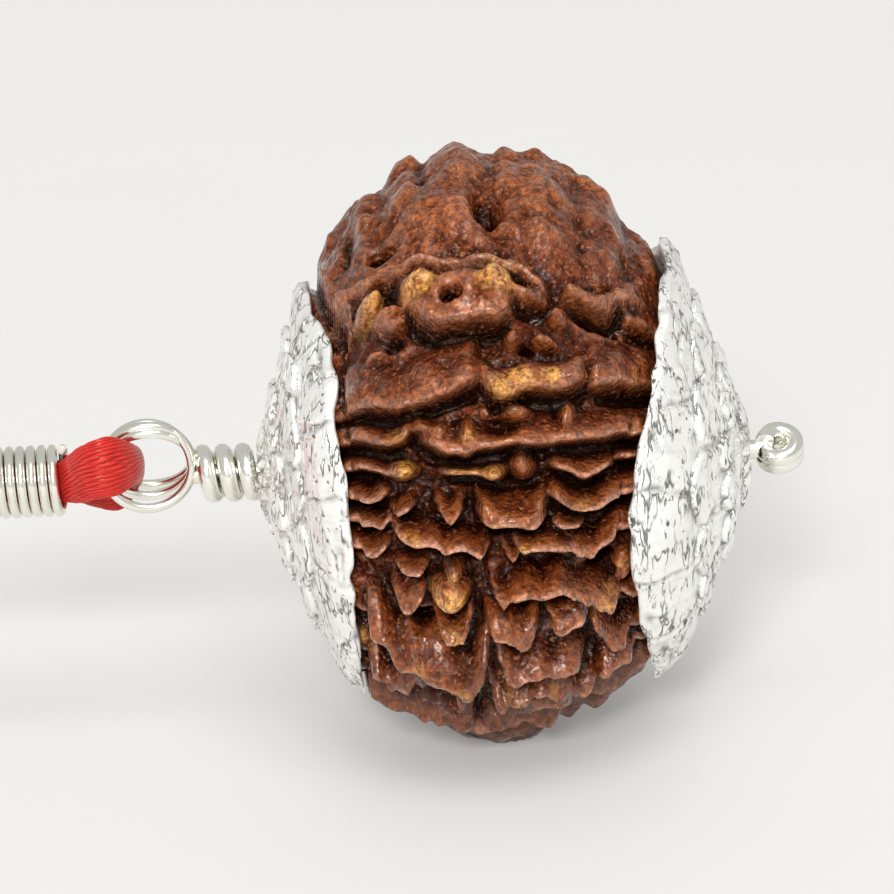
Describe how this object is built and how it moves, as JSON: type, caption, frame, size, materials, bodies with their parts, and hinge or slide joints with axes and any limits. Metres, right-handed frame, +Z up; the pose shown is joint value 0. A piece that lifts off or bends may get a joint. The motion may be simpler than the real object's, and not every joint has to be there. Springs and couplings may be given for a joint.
{
  "type": "rudraksha seed",
  "caption": "Rudraksha seed with domed silver end caps on a silver wire, a red silk thread through the wire's ring, and its cord coiled beside it.",
  "frame": {"origin": "middle of the small flat spot that the seed rests on", "axes": "+X along the hole through the seed towards the wire's small eye, +Z up, -Y towards the side that is looked at"},
  "size_m": [0.078, 0.0293, 0.0304],
  "materials": {
    "seed": "oiled, glossy",
    "silver": "bright pressed silver",
    "silk": "satin silk thread"
  },
  "bodies": {
    "root": {"seed": "seed", "cap_left": "silver", "cap_right": "silver", "wire": "silver", "binding": "silver", "thread": "silk", "cord_out": "silk", "cord_back": "silk", "cord_coil": "silk", "coil_tie": "silk"}
  },
  "joints": []
}
